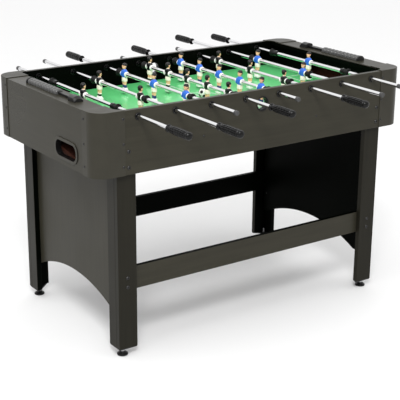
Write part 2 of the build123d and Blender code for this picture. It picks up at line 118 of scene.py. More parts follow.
# ---------------------------------------------------------------- mesh building
class Maker:
    """Collects rings of points into one mesh whose faces carry a material number."""

    def __init__(self):
        self.mesh = bmesh.new()

    def skin(self, rings, material=0, closed=False):
        rows = [[self.mesh.verts.new(p) for p in ring] for ring in rings]
        pairs = list(zip(rows, rows[1:]))
        if closed:
            pairs.append((rows[-1], rows[0]))
        faces = []
        for a, b in pairs:
            count = len(a)
            for k in range(count):
                j = (k + 1) % count
                faces.append(self.mesh.faces.new((a[k], a[j], b[j], b[k])))
        if not closed:
            faces += [self.mesh.faces.new(rows[0]), self.mesh.faces.new(rows[-1])]
        for face in faces:
            face.material_index = material
        return faces

    def piece(self, name, body, slot, materials, replaces=(), crease=40):
        """Closes the mesh and makes it a piece that rides on a body."""
        bmesh.ops.recalc_face_normals(self.mesh, faces=self.mesh.faces)
        data = bpy.data.meshes.new(name)
        self.mesh.to_mesh(data)
        self.mesh.free()
        data.polygons.foreach_set("use_smooth", [True] * len(data.polygons))
        data.set_sharp_from_angle(angle=math.radians(crease))
        for material in materials:
            data.materials.append(material)
        made = bpy.data.objects.new(name, data)
        bpy.context.scene.collection.objects.link(made)
        if replaces:
            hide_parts(*replaces)
        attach(made, body)
        return made


def soften(points, cut, steps=3):
    """Rounds the inner corners of a profile, each over the same cut along its two sides."""
    points = [Vector(p) for p in points]
    made = [points[0]]
    for before, here, after in zip(points, points[1:], points[2:]):
        a, b = before - here, after - here
        near = min(cut, a.length * 0.45, b.length * 0.45)
        a, b = here + a.normalized() * near, here + b.normalized() * near
        for k in range(steps + 1):
            t = k / steps
            made.append(a * (1 - t) ** 2 + here * 2 * t * (1 - t) + b * t**2)
    return made + [points[-1]]


def turned(maker, origin, axis, profile, segments=32, material=0, bored=False, warp=None):
    """Lathe about a line.  The profile holds (distance along the axis, radius) in millimetres."""
    along = Vector(axis).normalized()
    across = along.orthogonal().normalized()
    third = along.cross(across)
    rings = []
    for s, r in profile:
        ring = []
        for k in range(segments):
            angle = TAU * k / segments
            t, q = warp(s, r, angle) if warp else (s, r)
            spoke = across * math.cos(angle) + third * math.sin(angle)
            ring.append(origin + along * t * MM + spoke * q * MM)
        rings.append(ring)
    return maker.skin(rings, material, closed=bored)


def between(keys, steps):
    """Catmull-Rom stations between key stations."""
    made = []
    for k in range(len(keys) - 1):
        a, b = keys[max(k - 1, 0)], keys[k]
        c, d = keys[k + 1], keys[min(k + 2, len(keys) - 1)]
        for step in range(steps):
            t = step / steps
            made.append([
                0.5 * (
                    2 * q + (r - p) * t
                    + (2 * p - 5 * q + 4 * r - s) * t**2
                    + (3 * q - p - 3 * r + s) * t**3
                )
                for p, q, r, s in zip(a, b, c, d)
            ])
    return made + [list(keys[-1])]


def loft(maker, place, keys, material=0, segments=20, steps=3, power=2.0):
    """Upright rounded body.  Each key holds height, centre x, centre y, half depth, half width."""
    rings = []
    for z, x, y, rx, ry in between(keys, steps):
        ring = []
        for k in range(segments):
            angle = TAU * k / segments
            c, s = math.cos(angle), math.sin(angle)
            c = math.copysign(abs(c) ** (2 / power), c)
            s = math.copysign(abs(s) ** (2 / power), s)
            ring.append(place(x + rx * c, y + ry * s, z))
        rings.append(ring)
    return maker.skin(rings, material)


# ---------------------------------------------------------------- materials
class Shader:
    """A Principled material, with short calls for the nodes in front of it."""

    def __init__(self, name, colour, roughness, **sockets):
        self.material = bpy.data.materials.new(name)
        self.material.use_nodes = True
        self.tree = self.material.node_tree
        self.bsdf = self.tree.nodes["Principled BSDF"]
        self.bsdf.inputs["Base Color"].default_value = (*colour, 1)
        self.bsdf.inputs["Roughness"].default_value = roughness
        for key, value in sockets.items():
            self.bsdf.inputs[key.replace("_", " ")].default_value = value
        self.place = self.add("TexCoord").outputs["Object"]

    def add(self, kind, inputs=None, **settings):
        made = self.tree.nodes.new("ShaderNode" + kind)
        for key, value in settings.items():
            setattr(made, key, value)
        for key, value in (inputs or {}).items():
            if isinstance(value, bpy.types.NodeSocket):
                self.tree.links.new(value, made.inputs[key])
            else:
                made.inputs[key].default_value = value
        return made

    def calc(self, operation, *values):
        inputs = dict(enumerate(values))
        return self.add("Math", inputs, operation=operation).outputs[0]

    def noise(self, scale, stretch=(1, 1, 1), detail=4.0, roughness=0.55):
        spread = self.add("Mapping", {"Vector": self.place, "Scale": stretch})
        made = self.add("TexNoise", {"Vector": spread.outputs[0], "Scale": scale, "Detail": detail})
        made.inputs["Roughness"].default_value = roughness
        return made.outputs[0]

    def blend(self, factor, a, b):
        made = self.add("Mix", data_type="RGBA")
        for key, value in (("Factor_Float", factor), ("A_Color", a), ("B_Color", b)):
            socket = next(s for s in made.inputs if s.identifier == key)
            if isinstance(value, bpy.types.NodeSocket):
                self.tree.links.new(value, socket)
            else:
                socket.default_value = (*value, 1) if isinstance(value, tuple) else value
        return next(s for s in made.outputs if s.identifier == "Result_Color")

    def spread(self, value, low, high, new_low=0.0, new_high=1.0):
        names = ("Value", "From Min", "From Max", "To Min", "To Max")
        return self.add("MapRange", dict(zip(names, (value, low, high, new_low, new_high)))).outputs[0]

    def wire(self, value, socket):
        self.tree.links.new(value, self.bsdf.inputs[socket])

    def tint(self, factor, a, b):
        self.wire(self.blend(factor, a, b), "Base Color")

    def bump(self, height, depth, strength=1.0):
        made = self.add("Bump", {"Height": height, "Distance": depth, "Strength": strength})
        self.wire(made.outputs[0], "Normal")


def shade(colour, factor):
    return tuple(c * factor for c in colour)


def laminate(name, colour, grain, roughness=0.33, gloss=0.13):
    """Laminated board: fine pores and long soft streaks along the grain axis (0, 1 or 2)."""
    made = Shader(name, colour, roughness, Specular_IOR_Level=gloss)
    stretch = [1.0, 1.0, 1.0]
    stretch[grain] = 0.06
    streaks = made.noise(70, tuple(stretch), 6.0)
    pores = made.noise(900, tuple(stretch), 2.0)
    cloud = made.noise(4.0, (1, 1, 1), 2.0)
    mixed = made.calc("ADD", made.calc("MULTIPLY", streaks, 0.7), made.calc("MULTIPLY", cloud, 0.3))
    made.tint(made.spread(mixed, 0.35, 0.65), shade(colour, 0.88), shade(colour, 1.13))
    made.wire(made.spread(cloud, 0.3, 0.7, roughness - 0.06, roughness + 0.08), "Roughness")
    made.bump(made.calc("ADD", pores, made.calc("MULTIPLY", streaks, 0.6)), 0.00012, 0.5)
    return made.material


def moulded(name, colour, roughness, texture=1400, depth=0.00006, **sockets):
    """Injection-moulded plastic with a fine spark-eroded grain and faint handling marks."""
    made = Shader(name, colour, roughness, **sockets)
    grain = made.noise(texture, (1, 1, 1), 2.0)
    marks = made.noise(18, (1, 1, 1), 5.0)
    made.tint(made.spread(marks, 0.35, 0.7), shade(colour, 0.93), shade(colour, 1.08))
    made.wire(made.spread(marks, 0.3, 0.75, roughness - 0.04, roughness + 0.1), "Roughness")
    made.bump(grain, depth, 0.6)
    return made.material


def painted(name, colour, roughness=0.28):
    """Gloss paint on a small moulded figure, a little uneven where the brush pooled."""
    made = Shader(name, colour, roughness, Specular_IOR_Level=0.35)
    pool = made.noise(160, (1, 1, 1), 3.0)
    made.tint(made.spread(pool, 0.3, 0.7), shade(colour, 0.9), shade(colour, 1.06))
    made.bump(pool, 0.0002, 0.35)
    return made.material


def chromed():
    """Polished chrome tube with hairline draw marks along it and a few dull rubs."""
    made = Shader("chrome", (0.70, 0.70, 0.71), 0.07, Metallic=1.0)
    lines = made.noise(1100, (1, 0.01, 1), 2.0)
    rubs = made.noise(30, (1, 0.35, 1), 4.0)
    made.wire(made.spread(rubs, 0.35, 0.8, 0.05, 0.14), "Roughness")
    made.tint(made.spread(lines, 0.3, 0.7), (0.64, 0.64, 0.65), (0.74, 0.74, 0.75))
    made.bump(lines, 0.00002, 0.25)
    return made.material


def steel(name, colour, roughness):
    made = Shader(name, colour, roughness, Metallic=1.0)
    blotch = made.noise(240, (1, 1, 1), 5.0)
    made.tint(made.spread(blotch, 0.3, 0.7), shade(colour, 0.85), shade(colour, 1.1))
    made.wire(made.spread(blotch, 0.3, 0.7, roughness - 0.08, roughness + 0.12), "Roughness")
    made.bump(blotch, 0.00004, 0.4)
    return made.material


def fibreboard():
    """Raw reddish-brown board: coarse fibres and flecks, no gloss."""
    made = Shader("raw_fibreboard", (0.07, 0.022, 0.012), 0.85, Specular_IOR_Level=0.1)
    fibres = made.noise(420, (0.4, 1, 1), 7.0, 0.7)
    flecks = made.noise(60, (1, 1, 1), 3.0)
    mixed = made.calc("ADD", made.calc("MULTIPLY", fibres, 0.65), made.calc("MULTIPLY", flecks, 0.35))
    made.tint(made.spread(mixed, 0.35, 0.66), (0.022, 0.0065, 0.0035), (0.055, 0.018, 0.010))
    made.bump(fibres, 0.0004, 0.6)
    return made.material


def grass():
    """Printed playing field: plain green with white markings, under a clear coat."""
    made = Shader("playing_field", (0.08, 0.56, 0.15), 0.30, Coat_Weight=0.4, Coat_Roughness=0.12)
    goal_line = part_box("goal_walls")[1].x - GOAL_WALL
    split = made.add("SeparateXYZ", {"Vector": made.place}).outputs
    x, y = split["X"], split["Y"]
    along, across = made.calc("ABSOLUTE", x), made.calc("ABSOLUTE", y)
    squares = made.calc("ADD", made.calc("MULTIPLY", x, x), made.calc("MULTIPLY", y, y))
    from_centre = made.calc("SQRT", squares)
    from_goal = made.calc("ABSOLUTE", made.calc("SUBTRACT", along, goal_line))
    past_front = made.calc("SUBTRACT", from_goal, GOAL_BOX_REACH)
    past_side = made.calc("SUBTRACT", across, GOAL_BOX_HALF)
    marks = [
        made.calc("COMPARE", along, 0.0, LINE_HALF),
        made.calc("COMPARE", from_centre, CENTRE_CIRCLE, LINE_HALF),
        made.calc("LESS_THAN", from_centre, CENTRE_SPOT),
        made.calc("COMPARE", made.calc("MAXIMUM", past_front, past_side), 0.0, LINE_HALF),
    ]
    white = marks[0]
    for mark in marks[1:]:
        white = made.calc("MAXIMUM", white, mark)
    white = made.calc("MULTIPLY", white, made.calc("LESS_THAN", along, goal_line))
    speckle = made.noise(700, (1, 1, 1), 3.0)
    patch = made.noise(9, (1, 1, 1), 3.0)
    light = made.blend(made.spread(speckle, 0.3, 0.7), (0.118, 0.585, 0.200), (0.122, 0.60, 0.206))
    dark = made.blend(made.spread(patch, 0.3, 0.7), (0.102, 0.54, 0.172), (0.107, 0.56, 0.180))
    field = made.blend(made.spread(made.noise(3, (1, 1, 1), 2.0), 0.35, 0.65), light, dark)
    made.tint(white, field, (0.86, 0.88, 0.85))
    made.wire(made.spread(patch, 0.3, 0.7, 0.28, 0.34), "Roughness")
    return made.material


BOARD = (0.027, 0.025, 0.0175)
DARK = (0.0007, 0.0011, 0.0006)
BOARD_X = laminate("laminate_along_x", BOARD, 0)
BOARD_Y = laminate("laminate_along_y", BOARD, 1)
BOARD_Z = laminate("laminate_upright", BOARD, 2)
# Leg boards take the board colour at half strength: painted shade for the dimmer light low down under the
# cabinet.
LEG_SHADED_Z = laminate("leg_laminate_painted_shade", shade(BOARD, 0.5), 2, gloss=0.09)
DARK_X = laminate("dark_laminate_along_x", DARK, 0, 0.45, 0.02)
DARK_Z = laminate("dark_laminate_upright", DARK, 2, 0.45, 0.02)
RAW = fibreboard()
COVER = moulded("cover_plastic", (0.027, 0.025, 0.018), 0.34, 900, 0.0001, Specular_IOR_Level=0.18)
BLACK = moulded("black_plastic", (0.004, 0.004, 0.004), 0.30, Specular_IOR_Level=0.2)
GREY = moulded("grey_plastic", (0.045, 0.045, 0.045), 0.32, Specular_IOR_Level=0.3)
RUBBER = moulded("black_rubber", (0.005, 0.005, 0.005), 0.5, 2200, 0.00008, Specular_IOR_Level=0.2)
GRIP = moulded("grip_plastic", (0.002, 0.002, 0.002), 0.22, 2600, 0.00003, Specular_IOR_Level=0.2)
BUTTON = moulded("button_plastic", (0.003, 0.003, 0.003), 0.16, Specular_IOR_Level=0.2)
BEAD = moulded("bead_plastic", (0.062, 0.062, 0.061), 0.24, Specular_IOR_Level=0.45)
RACK = moulded("rack_plastic", (0.010, 0.010, 0.010), 0.3, Specular_IOR_Level=0.3)
CHROME = chromed()
ZINC = steel("zinc_steel", (0.52, 0.52, 0.53), 0.34)
BLUED = steel("blackened_steel", (0.045, 0.045, 0.045), 0.28)
SKIN = painted("painted_skin", (0.86, 0.50, 0.30))
HAIR = painted("painted_hair", (0.006, 0.004, 0.004), 0.4)
WHITE = painted("painted_white", (0.84, 0.83, 0.79))
CREAM = painted("painted_cream", (0.90, 0.81, 0.70))
JET = painted("painted_black", (0.004, 0.004, 0.005))
BLUE = painted("painted_blue", (0.028, 0.135, 0.60))
NAVY = painted("painted_navy", (0.012, 0.035, 0.16))
LIPS = painted("painted_lips", (0.35, 0.07, 0.05))


def dress(node, *materials, pick=None):
    """Gives a CAD node its materials.  pick(face centre, normal) says which one a face takes."""
    data = NODES[node].data
    data.materials.clear()
    for material in materials:
        data.materials.append(material)
    for face in data.polygons:
        face.material_index = pick(face.center, face.normal) if pick else 0


def in_trim_bore(point):
    """Whether a point lies inside the hole of a return trim, not on the rim's outer edge."""
    low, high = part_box("return_trims")
    return low.z + 6 * MM < point.z < high.z - 6 * MM


def dress_cabinet():
    """Grey laminate outside, near-black laminate facing the players, raw board inside the ends."""
    inner_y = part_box("front_side_wall")[1].y
    panel_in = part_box("return_ramps")[1].x
    rail_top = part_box("end_rails")[1].z

    def wall(point, normal):
        return 1 if abs(abs(point.y) - abs(inner_y)) < 2 * MM and abs(normal.y) > 0.7 else 0

    for node in ("front_side_wall", "back_side_wall"):
        dress(node, BOARD_X, DARK_X, pick=wall)
    dress("end_panels", BOARD_Y, RAW, pick=lambda p, n: int(abs(p.x) < panel_in + 1 * MM))
    dress("end_rails", BOARD_Y, DARK_Z, pick=lambda p, n: int(p.z < rail_top - 1.5 * MM))
    dress("goal_walls", DARK_X, RAW, pick=lambda p, n: int(n.x * p.x > 0.01))
    dress("playfield", grass(), RAW, pick=lambda p, n: int(n.z < 0.5))
    for node in ("field_supports", "corner_posts", "return_ramps"):
        dress(node, RAW)
    dress("corner_covers", COVER)
    rim_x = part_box("end_panels")[1].x

    def trim(point, normal):
        return int(abs(point.x) < rim_x or abs(normal.x) < 0.5 and in_trim_bore(point))

    # The trim's inner side and the walls of its hole take black plastic: painted shade inside the ball
    # return.
    dress("return_trims", COVER, BLACK, pick=trim)
    dress("foot_plates", BLUED)


def dress_stand():
    """Leg boards: darker grey outside and near-black on inner edges and faces, both painted shade; arched
    panels and low rails are dark inside.
    """
    corner_x, corner_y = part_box("front_legs")[1].x, -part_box("front_legs")[0].y

    def leg(point, normal):
        # Leg faces that are not on the outside take the dark laminate: painted shade on the inner edges of
        # the boards.
        outside = abs(point.x) > corner_x - 1 * MM or abs(point.y) > corner_y - 1 * MM
        return 0 if outside or abs(normal.x) > 0.9 and abs(point.y) > corner_y - 17 * MM else 1

    for node in ("front_legs", "back_legs"):
        dress(node, LEG_SHADED_Z, DARK_Z, pick=leg)
    dress("arch_panels", BOARD_Z, DARK_Z, pick=lambda p, n: int(n.x * p.x < 0.001))
    dress("stretchers", BOARD_X, DARK_X, pick=lambda p, n: int(n.y * p.y < 0.001))


# ---------------------------------------------------------------- rods
def make_shaft(number):
    """Chromed tube, its moulded end cap, and set collars with grub screws on one-man rods."""
    axis, side = rod_axis(number)
    low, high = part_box(f"rod_{number}_shaft")
    handle_low, handle_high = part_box(f"rod_{number}_handle")
    tip = low.y if side > 0 else high.y
    inside = (handle_low.y + handle_high.y) / 2
    length = abs(inside - tip) / MM
    start = Vector((axis.x, tip, axis.z))
    tube = Maker()
    profile = soften([(2.5, 0.01), (2.5, ROD_RADIUS), (length, ROD_RADIUS), (length, 0.01)], 0.6)
    turned(tube, start, (0, side, 0), profile, 40)
    tube.piece(f"rod_{number}_tube", f"rod_{number}", "rod_steel", [CHROME], [f"rod_{number}_shaft"])
    cap = Maker()
    outline = [(0.6, 0.01), (0, 4), (0, 6.4), (1.2, 7.5), (11, 7.5), (12, 7.0), (12, 6.42)]
    outline += [(4, 6.42), (4, 0.01)]
    turned(cap, start, (0, side, 0), soften(outline, 0.7), 48, warp=cap_ribs)
    cap.piece(f"rod_{number}_end_cap", f"rod_{number}", "black_plastic", [GREY])
    rings = [box_of(points) for points in solids(f"rod_{number}_shaft")]
    rings = [b for b in rings if b[1].z - b[0].z > COLLAR_LEAST]
    if rings:
        collars = Maker()
        for ring_low, ring_high in rings:
            place = Vector((axis.x, ring_low.y, axis.z))
            width = (ring_high.y - ring_low.y) / MM
            outline = [(0, 6.4), (0, 9.9), (width, 9.9), (width, 6.4)]
            ring = soften(outline, 1.0)
            turned(collars, place, (0, 1, 0), [Vector((0, 6.4))] + ring[1:], 48, bored=True)
            grub = place + Vector((0, width / 2, 0)) * MM + Vector((0, 0, 9.2)) * MM
            socket = [(0, 0.01), (0, 2.6), (1.1, 2.6), (1.1, 1.5), (0.3, 1.4), (0.3, 0.01)]
            turned(collars, grub, (0, 0, 1), socket, 12, material=1, warp=hexagon)
        collars.piece(f"rod_{number}_set_collars", f"rod_{number}", "black_plastic", [BLACK, ZINC])


def cap_ribs(s, r, angle):
    """Fine lengthwise ribs on the barrel of an end cap."""
    on = 2.0 < s < 10.5 and r > 7
    return s, r - (0.25 * (0.5 + 0.5 * math.cos(16 * angle)) if on else 0)


def hexagon(s, r, angle):
    """Turns the socket's inner rings into a hexagon."""
    if 1.0 < r < 2.55:
        r /= math.cos((angle % (TAU / 6)) - TAU / 12)
    return s, r


# Radius of the grip at distances from its collar, from the neck on.
SWELL = [(14, 8.9), (17, 10.3), (21, 11.2), (30, 11.9), (52, 12.3), (75, 12.2), (100, 11.7)]


def make_handle(number):
    """Coarsely fluted grip with a flared collar and a narrow neck, and a glossy end button."""
    axis, side = rod_axis(number)
    low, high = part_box(f"rod_{number}_handle")
    start = Vector((axis.x, low.y if side > 0 else high.y, axis.z))
    length = (high.y - low.y) / MM
    ribs, twist = 12, 0.12
    first, last = 16, length - 12

    def barrel(s):
        """Radius of the grip, which swells to its middle and stays full up to the end."""
        for (a, low_r), (b, high_r) in zip(SWELL, SWELL[1:]):
            if s <= b:
                return low_r + (high_r - low_r) * (s - a) / (b - a)
        return SWELL[-1][1]

    def fluted(s, r, angle):
        rise = min(1, (s - first) / 5, (last - s) / 4) if first < s < last else 0
        wave = 0.5 - 0.5 * math.cos(ribs * (angle + twist * math.sin((s - first) / 24)))
        ring = 0.5 - 0.5 * math.cos(TAU * (s - first) / 13)
        return s, r - rise * (2.0 * wave**3 + 0.9 * ring**4)

    neck_end = SWELL[0][0]
    collar = [(0, 6.45), (0, 10.9), (0.8, 11.7), (3.4, 11.7), (6.4, 9.0), (8.5, 8.5), (13, 8.5), SWELL[0]]
    stations = [neck_end + (last - neck_end) * k / 60 for k in range(1, 61)]
    grip_profile = soften(collar, 0.9) + [Vector((s, barrel(s))) for s in stations]
    grip_profile += [Vector((last + 1, barrel(last) - 0.9)), Vector((last + 1, 6.45))]
    grip = Maker()
    turned(grip, start, (0, side, 0), grip_profile, ribs * 12, bored=True, warp=fluted)
    grip.piece(f"rod_{number}_grip", f"rod_{number}", "grip", [GRIP], [f"rod_{number}_handle"])
    end = barrel(last)
    button = [(last + 1.3, 0.01), (last + 1.3, end - 0.9), (last + 2.6, end), (last + 7, end - 0.4)]
    button += [(length - 2.6, end - 2.4), (length - 0.7, end - 5), (length, 0.01)]
    cap = Maker()
    turned(cap, start, (0, side, 0), soften(button, 1.4, 4), 64)
    cap.piece(f"rod_{number}_grip_button", f"rod_{number}", "grip", [BUTTON])


def make_bumpers(number):
    """Rubber sleeves: two grooves in the barrel, a rounded flange towards the bearing."""
    axis, _ = rod_axis(number)
    maker = Maker()
    for points in solids(f"rod_{number}_bumpers"):
        low, high = box_of(points)
        sign = 1 if high.y + low.y > 0 else -1
        inner = low.y if sign > 0 else high.y
        length = (high.y - low.y) / MM
        flange = length - 6
        outline = [(0, 6.45), (0, 8.7), (0.8, 9.4), (4, 9.4), (4.6, 8.5), (6, 8.5), (6.6, 9.4)]
        outline += [(9.4, 9.4), (10, 8.5), (11.4, 8.5), (12, 9.4), (flange - 1, 9.4)]
        outline += [(flange, 11.8), (flange + 1, 12.9), (length - 1.4, 12.9), (length - 0.2, 11.8)]
        outline += [(length - 0.2, 9), (length, 8.4), (length, 6.45)]
        place = Vector((axis.x, inner, axis.z))
        turned(maker, place, (0, sign, 0), soften(outline, 0.5, 2), 40, bored=True)
    name = f"rod_{number}_bumper_sleeves"
    maker.piece(name, f"rod_{number}_carriage", "bumper_rubber", [RUBBER], [f"rod_{number}_bumpers"])


# ---------------------------------------------------------------- men
# Stations of a man's parts in millimetres, as loft reads them; height 0 is the rod's line.
HEAD = [
    (17.0, 1.2, 0, 2.0, 2.0), (18.2, 1.6, 0, 4.6, 3.9), (21, 1.0, 0, 6.3, 5.4), (25, 0.4, 0, 7.3, 6.5),
    (29, -0.2, 0, 7.8, 7.0), (32.5, -0.6, 0, 6.9, 6.4), (35, -0.9, 0, 4.3, 4.1), (35.8, -0.9, 0, 1.2, 1.2),
]
HAIR_CAP = [
    (27.5, -1.8, 0, 7.1, 7.4), (29.5, -1.1, 0, 8.2, 8.0), (32.5, -0.9, 0, 7.9, 7.6),
    (35, -1.0, 0, 6.0, 5.8), (36.6, -1.1, 0, 3.4, 3.3), (37, -1.1, 0, 0.8, 0.8),
]
HAIR_BACK = [
    (20.5, -3.6, 0, 3.0, 4.6), (23, -3.0, 0, 5.0, 6.5), (27, -2.2, 0, 6.2, 7.5), (30, -1.8, 0, 6.4, 7.4),
]
TORSO = [
    (-13, 0, 0, 6.8, 8.8), (-9, 0, 0, 7.6, 9.4), (-3, 0.3, 0, 8.2, 10.4), (4, 0.5, 0, 8.3, 11.6),
    (10, 0, 0, 7.4, 11.8), (13.5, -0.3, 0, 6.0, 8.8), (15.6, -0.3, 0, 4.6, 5.0),
]
NECK = [(12, -0.2, 0, 4.4, 4.4), (16, 0, 0, 3.9, 4.0), (20, 0.4, 0, 4.0, 4.0)]
SHORTS = [
    (-25, 0, 0, 7.2, 9.8), (-24, 0, 0, 8.1, 10.6), (-18, 0, 0, 8.1, 10.4), (-13, 0, 0, 7.8, 9.9),
    (-10.5, 0, 0, 7.4, 9.3),
]
THIGH = [
    (-39, 0.2, 4.3, 4.2, 3.9), (-35, 0.4, 4.3, 4.6, 4.2), (-30, 0.2, 4.4, 5.2, 4.5),
    (-24, 0, 4.6, 5.9, 4.8),
]
SOCK = [
    (-52, -0.8, 4.3, 4.2, 4.0), (-47, -0.8, 4.3, 4.5, 4.1), (-42, -0.6, 4.3, 5.1, 4.5),
    (-38, 0, 4.3, 4.9, 4.5),
]
SOCK_FOLD = [
    (-40.4, -0.1, 4.3, 4.9, 4.5), (-39.6, -0.1, 4.3, 5.4, 5.0), (-37.6, 0, 4.3, 5.4, 5.0),
    (-36.8, 0.1, 4.3, 4.8, 4.4),
]
BOOT = [
    (-61.6, 0, 0, 8.4, 10.9), (-60.8, 0, 0, 8.9, 11.3), (-55, 0, 0, 8.9, 11.3),
    (-52, -0.8, 0, 7.8, 10.6), (-48.5, -1.6, 0, 6.0, 9.2), (-46.8, -1.8, 0, 5.0, 8.2),
]
SOLE = [(-62, 0, 0, 8.0, 10.5), (-61.5, 0, 0, 8.6, 11.0), (-60.9, 0, 0, 8.6, 11.0)]
SHIRT_COLLAR = [
    (13.6, -0.2, 0, 5.2, 5.4), (15, -0.1, 0, 5.5, 5.7), (16.4, 0, 0, 4.7, 4.8), (16.6, 0, 0, 3.9, 4.0),
]
EAR = [(24, -0.6, 6.9, 1.2, 0.7), (26, -0.6, 7.3, 1.7, 1.0), (28.4, -0.6, 7.1, 1.0, 0.7)]
EYE = [(26.2, 6.9, 2.6, 0.5, 0.6), (27.1, 7.0, 2.6, 0.7, 0.95), (28, 6.8, 2.6, 0.5, 0.6)]
BROW = [(29, 6.6, 2.8, 0.7, 1.2), (29.5, 6.6, 2.8, 0.9, 1.5), (30, 6.3, 2.8, 0.6, 1.1)]
NOSE = [
    (23.4, 6.8, 0, 0.8, 0.8), (24.4, 7.7, 0, 1.3, 1.2), (26, 7.4, 0, 0.9, 0.8), (28, 6.9, 0, 0.6, 0.5),
]
MOUTH = [(21.4, 6.2, 0, 0.5, 1.2), (21.9, 6.4, 0, 0.6, 1.7), (22.4, 6.5, 0, 0.5, 1.2)]
# Sleeve from shoulder to elbow, leaning out to the boss on the rod.
ARM = [
    (-9.0, 0.8, 12.0, 4.4, 2.6), (-5, 0.9, 12.4, 7.4, 3.0), (0, 0.8, 12.4, 8.6, 3.1),
    (5, 0.4, 12.0, 7.2, 3.6), (9.5, 0, 10.8, 5.2, 3.9), (12, -0.2, 9.2, 3.6, 3.0),
    (13, -0.2, 8.2, 1.6, 1.6),
]
BOSS = [(11, 6.42), (11, 8.4), (12.6, 9.6), (15, 9.4), (16.4, 8.0), (16.4, 6.42)]


def make_man(maker, spot, facing, team):
    """One man on the rod.  Materials: 0 shirt, 1 cream, 2 skin, 3 hair, 4 socks, 5 lips, 6 white."""
    trim, fold = (1, 1) if team == "black" else (0, 4)

    def place(x, y, z):
        return spot + Vector((facing * x, facing * y, z)) * MM

    loft(maker, place, HEAD, 2, 24)
    loft(maker, place, HAIR_CAP, 3, 24)
    loft(maker, place, HAIR_BACK, 3, 20)
    loft(maker, place, NECK, 2, 14, 2)
    loft(maker, place, TORSO, 0, 24, power=2.5)
    loft(maker, place, SHIRT_COLLAR, trim, 18, 2)
    loft(maker, place, SHORTS, 1, 24, power=2.6)
    loft(maker, place, BOOT, 6, 28, power=4.5)
    loft(maker, place, SOLE, 4, 28, 2, power=4.5)
    for sign in (-1, 1):
        paired = (
            (ARM, 0, 16, 3), (THIGH, 2, 16, 3), (SOCK, 4, 16, 3), (SOCK_FOLD, fold, 16, 3),
            (EAR, 2, 10, 2), (EYE, 3, 8, 2), (BROW, 3, 8, 2),
        )
        for keys, material, segments, steps in paired:
            moved = [(z, x, sign * y, rx, ry) for z, x, y, rx, ry in keys]
            loft(maker, place, moved, material, segments, steps)
        turned(maker, spot, (0, sign, 0), soften(BOSS, 0.9), 28, 6, bored=True)
    loft(maker, place, NOSE, 2, 10, 2)
    loft(maker, place, MOUTH, 5, 8, 2)


def make_men(number):
    axis, _ = rod_axis(number)
    team = "black" if number in FRONT_TEAM else "blue"
    facing = 1 if team == "black" else -1
    maker = Maker()
    for points in solids(f"rod_{number}_players"):
        low, high = box_of(points)
        make_man(maker, Vector((axis.x, (low.y + high.y) / 2, axis.z)), facing, team)
    shirt, socks = (JET, JET) if team == "black" else (BLUE, NAVY)
    looks = [shirt, CREAM, SKIN, HAIR, socks, LIPS, WHITE]
    maker.piece(f"rod_{number}_men", f"rod_{number}", f"team_{team}", looks, [f"rod_{number}_players"], 50)


# ---------------------------------------------------------------- bearings, cups, fasteners, feet
def make_bearings():
    """Flanged sleeves outside, castellated ring nuts inside."""
    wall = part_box("front_side_wall")
    outer, inner = -wall[0].y, -wall[1].y
    flanges, nuts = Maker(), Maker()

    def castle(s, r, angle):
        return s, r - (0.9 if r > 10 and math.cos(8 * angle) > 0.45 else 0)

    for number in range(1, ROD_COUNT + 1):
        axis, _ = rod_axis(number)
        for sign in (-1, 1):
            outline = [(-16, 6.46), (-16, 8.7), (0.1, 8.7), (0.1, 10.9), (2.4, 10.9), (3.9, 9.4)]
            outline += [(3.9, 8.4), (2.6, 7.8), (2.6, 7.2), (1.4, 6.46)]
            place = Vector((axis.x, sign * outer, axis.z))
            turned(flanges, place, (0, sign, 0), soften(outline, 0.5, 2), 48, bored=True)
            outline = [(0.1, 8.85), (0.1, 10.8), (3.0, 10.8), (3.8, 10.2), (3.8, 8.85)]
            place = Vector((axis.x, sign * inner, axis.z))
            turned(nuts, place, (0, -sign, 0), soften(outline, 0.4, 2), 64, bored=True, warp=castle)
    flanges.piece("bearing_flanges", "root", "black_plastic", [BLACK], ["rod_bearings"])
    nuts.piece("bearing_ring_nuts", "root", "black_plastic", [BLACK])


def make_entry_cups():
    """Dished rings that lead the ball through the side walls."""
    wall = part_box("front_side_wall")
    outer, depth = -wall[0].y, (wall[1].y - wall[0].y) / MM
    low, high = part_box("ball_entry_cups")
    maker = Maker()
    for sign in (-1, 1):
        place = Vector((0, sign * outer, (low.z + high.z) / 2))
        outline = [(-depth, 18.2), (-depth, 19.6), (0.05, 19.6), (0.05, 23.9), (1.4, 23.9)]
        outline += [(2.9, 22.6), (2.9, 21.2), (0.4, 19.4), (-5, 18.4)]
        turned(maker, place, (0, sign, 0), soften(outline, 0.8, 3), 72, bored=True)
    maker.piece("ball_cup_rings", "root", "black_plastic", [BLACK], ["ball_entry_cups"])


